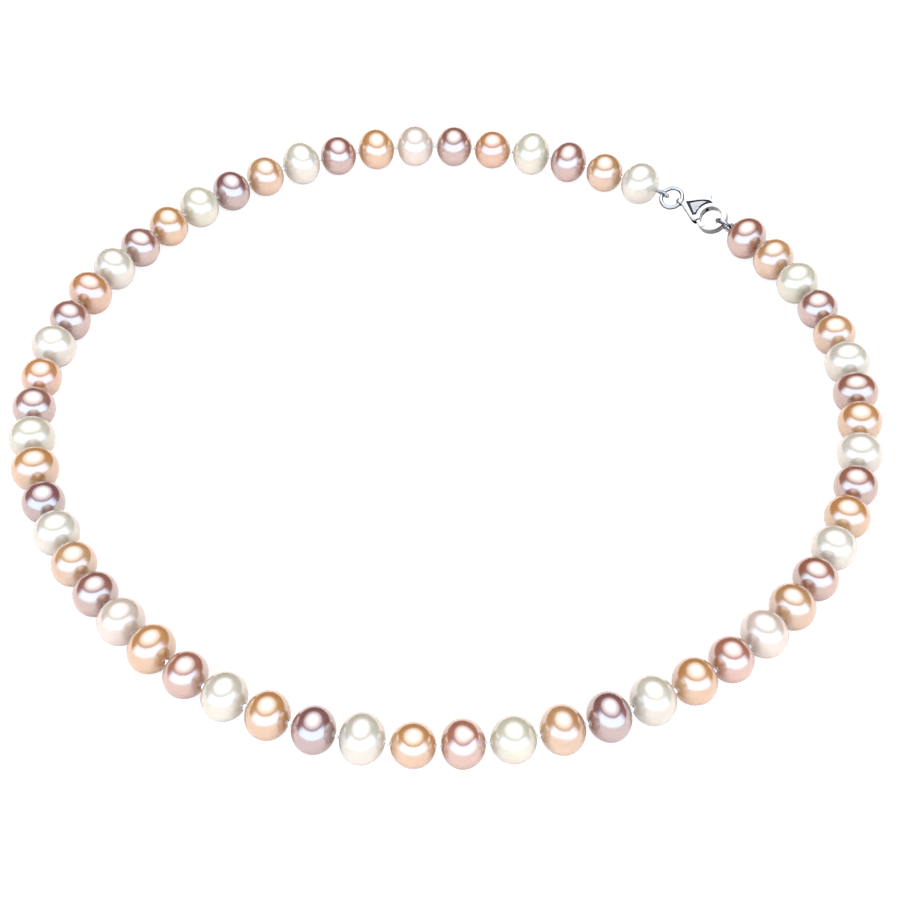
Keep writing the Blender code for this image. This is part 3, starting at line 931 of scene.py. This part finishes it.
def lever_outline():
    """The whole lever: the gate, the hub round the pin, and the thumb tab."""
    inner_end, outer_end = gate_ends()
    gate_out = arc((0, 0), GATE_BAND[1] - 0.03, outer_end - 0.04, math.radians(222), 10)
    low_heel = [gate_out[-1], (-2.95, -1.25), (-3.75, -0.45), (-4.15, 0.35)]
    heel = curved([*low_heel, (-3.95, 1.05), (-3.62, 2.0)], 3)
    thumb = [(-3.15, 4.16), (-2.82, 4.22)]
    tab = curved([(-3.50, 2.6), (-3.40, 3.60), *thumb, (-2.50, 3.85), (-2.10, 3.05)], 4)
    waist = curved([(-1.85, 2.3), (-1.95, 1.3), (-2.02, 0.54)], 3)
    gate_in = arc((0, 0), GATE_BAND[0] + 0.03, math.radians(165), inner_end - 0.06, 24)
    return gate_out[:-1] + heel + tab + waist[:-1] + gate_in


def add_lever(place, silver):
    blank = pillow(lever_outline(), LEVER_HALF, LEVER_EDGE, 4, LEVER_DOME)
    lever = build("gate_lever", blank, place, [silver])
    steps = [
        ("UNION", helper(pillow(gate_outline(), GATE_HALF, GATE_EDGE, 4, GATE_DOME), place)),
        ("DIFFERENCE", helper(prism(circle(PIN_AT, LEVER_BORE, 32), -2, 2), place)),
        ("DIFFERENCE", helper(prism(circle(PIN_AT, SPRING_RECESS, 32), *SPRING_ROOM), place)),
    ]
    combined(lever, steps)
    lever.data.shade_smooth()
    lever.data.set_sharp_from_angle(angle=CASTING_SHARP)
    # Painted shade: the lever's sides are painted darker
    store_painted_shade(lever, Vector((0, 0, 1)), CASTING_PAINTED_SHADE)
    return lever


def add_spring(place, steel):
    """Two flat turns of wire round the pin, with a leg against the slot's closed end."""
    points = []
    middle = (SPRING_LOW + SPRING_HIGH) / 2
    for k in range(SPRING_STEPS + 1):
        share = k / SPRING_STEPS
        turn = 2 * math.pi * SPRING_TURNS * share + SPRING_START
        radius = SPRING_COIL[0] + (SPRING_COIL[1] - SPRING_COIL[0]) * share
        points.append(Vector((*PIN_AT, middle)) + radius * Vector((math.cos(turn), math.sin(turn), 0)))
    points.append(points[-1] + Vector(SPRING_LEG))
    bm = loft(bmesh.new(), tube_rings(points, SPRING_WIRE, SPRING_SIDES))
    return build("lever_spring", bm, place, [steel])


def ring_mesh(at, radius, wire, plane):
    """A round link of wire, with the fine line where its ends meet."""
    square = Vector((1, 0, 0)).cross(plane)
    angles = [2 * math.pi * (k + 0.5) / RING_STEPS for k in range(RING_STEPS)]
    angles += [SEAM_AT + off for off in (-0.012, -0.004, 0.004, 0.012)]
    rings = []
    for angle in sorted(angles):
        out = math.cos(angle) * Vector((1, 0, 0)) + math.sin(angle) * plane
        size = wire * (0.90 if abs(angle - SEAM_AT) < 0.006 else 1.0)
        middle = Vector((at, 0, 0)) + out * radius
        turns = [2 * math.pi * side / RING_SIDES for side in range(RING_SIDES)]
        rings.append([middle + size * (math.cos(a) * out + math.sin(a) * square) for a in turns])
    return loft(bmesh.new(), rings, closed=True)


def gimp_line(tip_at, radius, plane, pearl, sign):
    """The hairpin that the French wire follows, in clasp coordinates."""
    u_way = Vector((sign, 0, 0))
    tip = Vector((tip_at, 0, 0))
    bend = []
    for k in range(7):
        angle = math.radians(90 - 30 * k)
        bend.append(tip + radius * (math.cos(angle) * u_way + math.sin(angle) * plane))
    feet = []
    for side in (1, -1):
        foot = pearl + plane * (side * (GIMP + 0.03)) + u_way * GIMP_GAP
        waist = foot.lerp(bend[0] if side == 1 else bend[-1], 0.55) + plane * (side * 0.06)
        feet.append([foot, waist])
    return feet[0] + bend + feet[1][::-1]


def gimp_mesh(line, wire, pitch):
    """A fine wire coiled round a silk core."""
    path = spaced(rounded(line, 2), pitch / COIL_AROUND)
    coil = []
    for k, (point, across, rise) in enumerate(carried_frames(path)):
        turn = 2 * math.pi * k / COIL_AROUND
        way = math.cos(turn) * rise + math.sin(turn) * across
        coil.append(point + (GIMP - COIL_EASE - wire) * way)
    bm = loft(bmesh.new(), tube_rings(coil, wire, 6))
    return loft(bm, tube_rings(spaced(path, 0.15), GIMP - COIL_EASE - 1.6 * wire, 8), material=1)


def add_clasp(strand, silver, steel, silk):
    place = clasp_frame(strand)
    across = Vector((0, 1, 0))
    out = Vector((0, 0, 1))
    inverse = place.inverted()
    pole_first = inverse @ frame_of(strand, 0) @ Vector((-rim_at(0), 0, 0))
    pole_last = inverse @ frame_of(strand, PEARLS - 1) @ Vector((rim_at(PEARLS - 1), 0, 0))
    pin = pillow(circle((0, 0), PIN, 28), THICK - FACET_DEPTH - 0.01, 0.015, 1, 1.0)
    pin = moved(pin, *PIN_AT)
    jump = ring_mesh(EYE_AT - JUMP_RING, JUMP_RING, JUMP_WIRE, across)
    catch = ring_mesh(CATCH_AT, CATCH_RING, CATCH_WIRE - CATCH_EASE, out)
    left = gimp_mesh(gimp_line(LEFT_LOOP_AT, LEFT_LOOP, out, pole_first, 1), *LEFT_COIL)
    right = gimp_mesh(gimp_line(RIGHT_LOOP_AT, RIGHT_LOOP, across, pole_last, -1), *RIGHT_COIL)
    made = (
        (add_claw(place, silver), "claw", "clasp_body"),
        (add_lever(place, silver), "lever", "clasp_lever"),
        (build("hinge_pin", pin, place, [silver]), "claw", "clasp_pin"),
        (add_spring(place, steel), "claw", "clasp_spring"),
        (build("link_ring", jump, place, [silver]), "jump_ring", "jump_ring"),
        (build("end_ring", catch, place, [silver]), "catch_ring", "catch_ring"),
        (build("gimp_first", left, place, [silver, silk]), "strand_a", "french_wire_first"),
        (build("gimp_last", right, place, [silver, silk]), "strand_d", "french_wire_last"),
    )
    for piece, body, node in made:
        # Painted shade: the rings' inner and outer sides are painted nearly black, as dark outlines
        if node in ("jump_ring", "catch_ring"):
            store_painted_shade(piece, out, RING_PAINTED_SHADE)
        # Painted shade: the pin's sides are painted dark and its ends like the facets
        if node == "clasp_pin":
            store_painted_shade(piece, out, 1.0, pin_painted_shade)
        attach(piece, body)
        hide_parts(node)


# ---------------------------------------------------------------- the studio

CAMERA_RISE = math.radians(45.0)
CAMERA_AWAY = 0.39393
CAMERA_AIM = Vector((0.00067, -0.006775, 0))
CAMERA_LENS = 92.12
BOX_LIGHT = 0.8
BOX_HEIGHT = 0.95
BOX_SIZE = 0.70
BOX_BACK = 0.14
TENT_LEAN = math.radians(8.5)
TENT_REACH = (math.radians(50), math.radians(43))
TENT_EDGE = (1.15, 1.15, 1.18)
TENT_TOP = (3.20, 3.20, 3.20)
CARD_FRONT = (-0.1, 0.45)
CARD_REACH = (math.radians(52), math.radians(58))
FLOOR_SIZE = 3.0
FLOOR_PAINT = (0.92, 0.80, 0.73)
FLOOR_SEEN = (0.30, 0.30, 0.30)
FLOOR_GLOW = 0.82
FLOOR_SIDES = 64
ROOM = (0.05, 0.05, 0.055)
ROOM_SEEN = (0.93, 0.93, 0.93)
CARD = (2.15, 2.60, 3.15)


def add_camera():
    data = bpy.data.cameras.new("camera")
    data.lens = CAMERA_LENS
    data.clip_start = 0.01
    camera = bpy.data.objects.new("camera", data)
    bpy.context.scene.collection.objects.link(camera)
    back = Vector((0, -math.cos(CAMERA_RISE), math.sin(CAMERA_RISE)))
    camera.location = CAMERA_AIM + back * CAMERA_AWAY
    camera.rotation_euler = (math.pi / 2 - CAMERA_RISE, 0, 0)
    bpy.context.scene.camera = camera


def add_box_light():
    """One wide round softbox overhead, a little behind the necklace."""
    data = bpy.data.lights.new("softbox", "AREA")
    data.shape = "DISK"
    data.size = BOX_SIZE
    area = math.pi * (BOX_SIZE / 2) ** 2
    data.energy = BOX_LIGHT * area * math.pi
    light = bpy.data.objects.new("softbox", data)
    bpy.context.scene.collection.objects.link(light)
    light.location = (0, BOX_BACK, BOX_HEIGHT)
    light.rotation_euler = Vector((0, BOX_BACK, BOX_HEIGHT)).to_track_quat("Z", "Y").to_euler()
    light.visible_camera = False


def add_floor():
    material, tree, shader = new_material("floor")
    seen = add_node(tree, "ShaderNodeLightPath").outputs["Is Camera Ray"]
    tree.links.new(mix_colour(tree, seen, FLOOR_PAINT, FLOOR_SEEN), shader.inputs["Base Color"])
    shader.inputs["Roughness"].default_value = 0.9
    shader.inputs["Specular IOR Level"].default_value = 0.0
    shader.inputs["Emission Color"].default_value = (1, 1, 1, 1)
    glow = ranged(tree, seen, 0, 1, 0, FLOOR_GLOW)
    tree.links.new(glow, shader.inputs["Emission Strength"])
    bm = bmesh.new()
    bm.faces.new([bm.verts.new((x, y, 0)) for x, y in circle((0, 0), FLOOR_SIZE, FLOOR_SIDES)])
    mesh = bpy.data.meshes.new("floor")
    bm.to_mesh(mesh)
    bm.free()
    mesh.materials.append(material)
    floor = bpy.data.objects.new("floor", mesh)
    bpy.context.scene.collection.objects.link(floor)


def smooth_step(tree, value, low, high):
    made = add_node(
        tree,
        "ShaderNodeMapRange",
        {"Value": value, "From Min": low, "From Max": high},
        interpolation_type="SMOOTHSTEP",
    )
    return made.outputs["Result"]


def add_world():
    """A dim room with a round glowing tent overhead and a bluish card in front."""
    world = bpy.data.worlds.new("studio")
    world.use_nodes = True
    bpy.context.scene.world = world
    tree = world.node_tree
    background = tree.nodes["Background"]
    way = add_node(tree, "ShaderNodeTexCoord").outputs["Generated"]
    split = add_node(tree, "ShaderNodeSeparateXYZ", {"Vector": way})
    axis = (0, math.sin(TENT_LEAN), math.cos(TENT_LEAN))
    lean = add_node(tree, "ShaderNodeVectorMath", {0: way, 1: axis}, operation="DOT_PRODUCT")
    off = lean.outputs["Value"]
    flipped = {0: split.outputs["Y"], 1: -1.0}
    front = add_node(tree, "ShaderNodeMath", flipped, operation="MULTIPLY").outputs[0]
    card = add_node(
        tree,
        "ShaderNodeMath",
        {
            0: smooth_step(tree, front, *CARD_FRONT),
            1: smooth_step(tree, off, math.cos(CARD_REACH[0]), math.cos(CARD_REACH[1])),
        },
        operation="MULTIPLY",
    ).outputs[0]
    tent = smooth_step(tree, off, math.cos(TENT_REACH[0]), math.cos(TENT_REACH[1]))
    seen = add_node(tree, "ShaderNodeLightPath").outputs["Is Camera Ray"]
    towards_top = ranged(tree, off, math.cos(TENT_REACH[1]), 1, 0, 1)
    glow = mix_colour(tree, towards_top, TENT_EDGE, TENT_TOP)
    room = mix_colour(tree, tent, mix_colour(tree, card, ROOM, CARD), glow)
    colour = mix_colour(tree, seen, room, ROOM_SEEN)
    tree.links.new(colour, background.inputs["Color"])


def main():
    strand_places = pearl_places()
    strand = (strand_places, directions(strand_places))
    silver = silver_material("silver_polished", POLISHED)
    steel = silver_material("spring_steel", DRAWN)
    silk = silk_material()
    add_pearls(strand)
    add_silk(strand, [silk])
    add_clasp(strand, silver, steel, silk)
    add_camera()
    add_box_light()
    add_floor()
    add_world()
    bpy.context.scene.view_settings.view_transform = "Standard"


main()
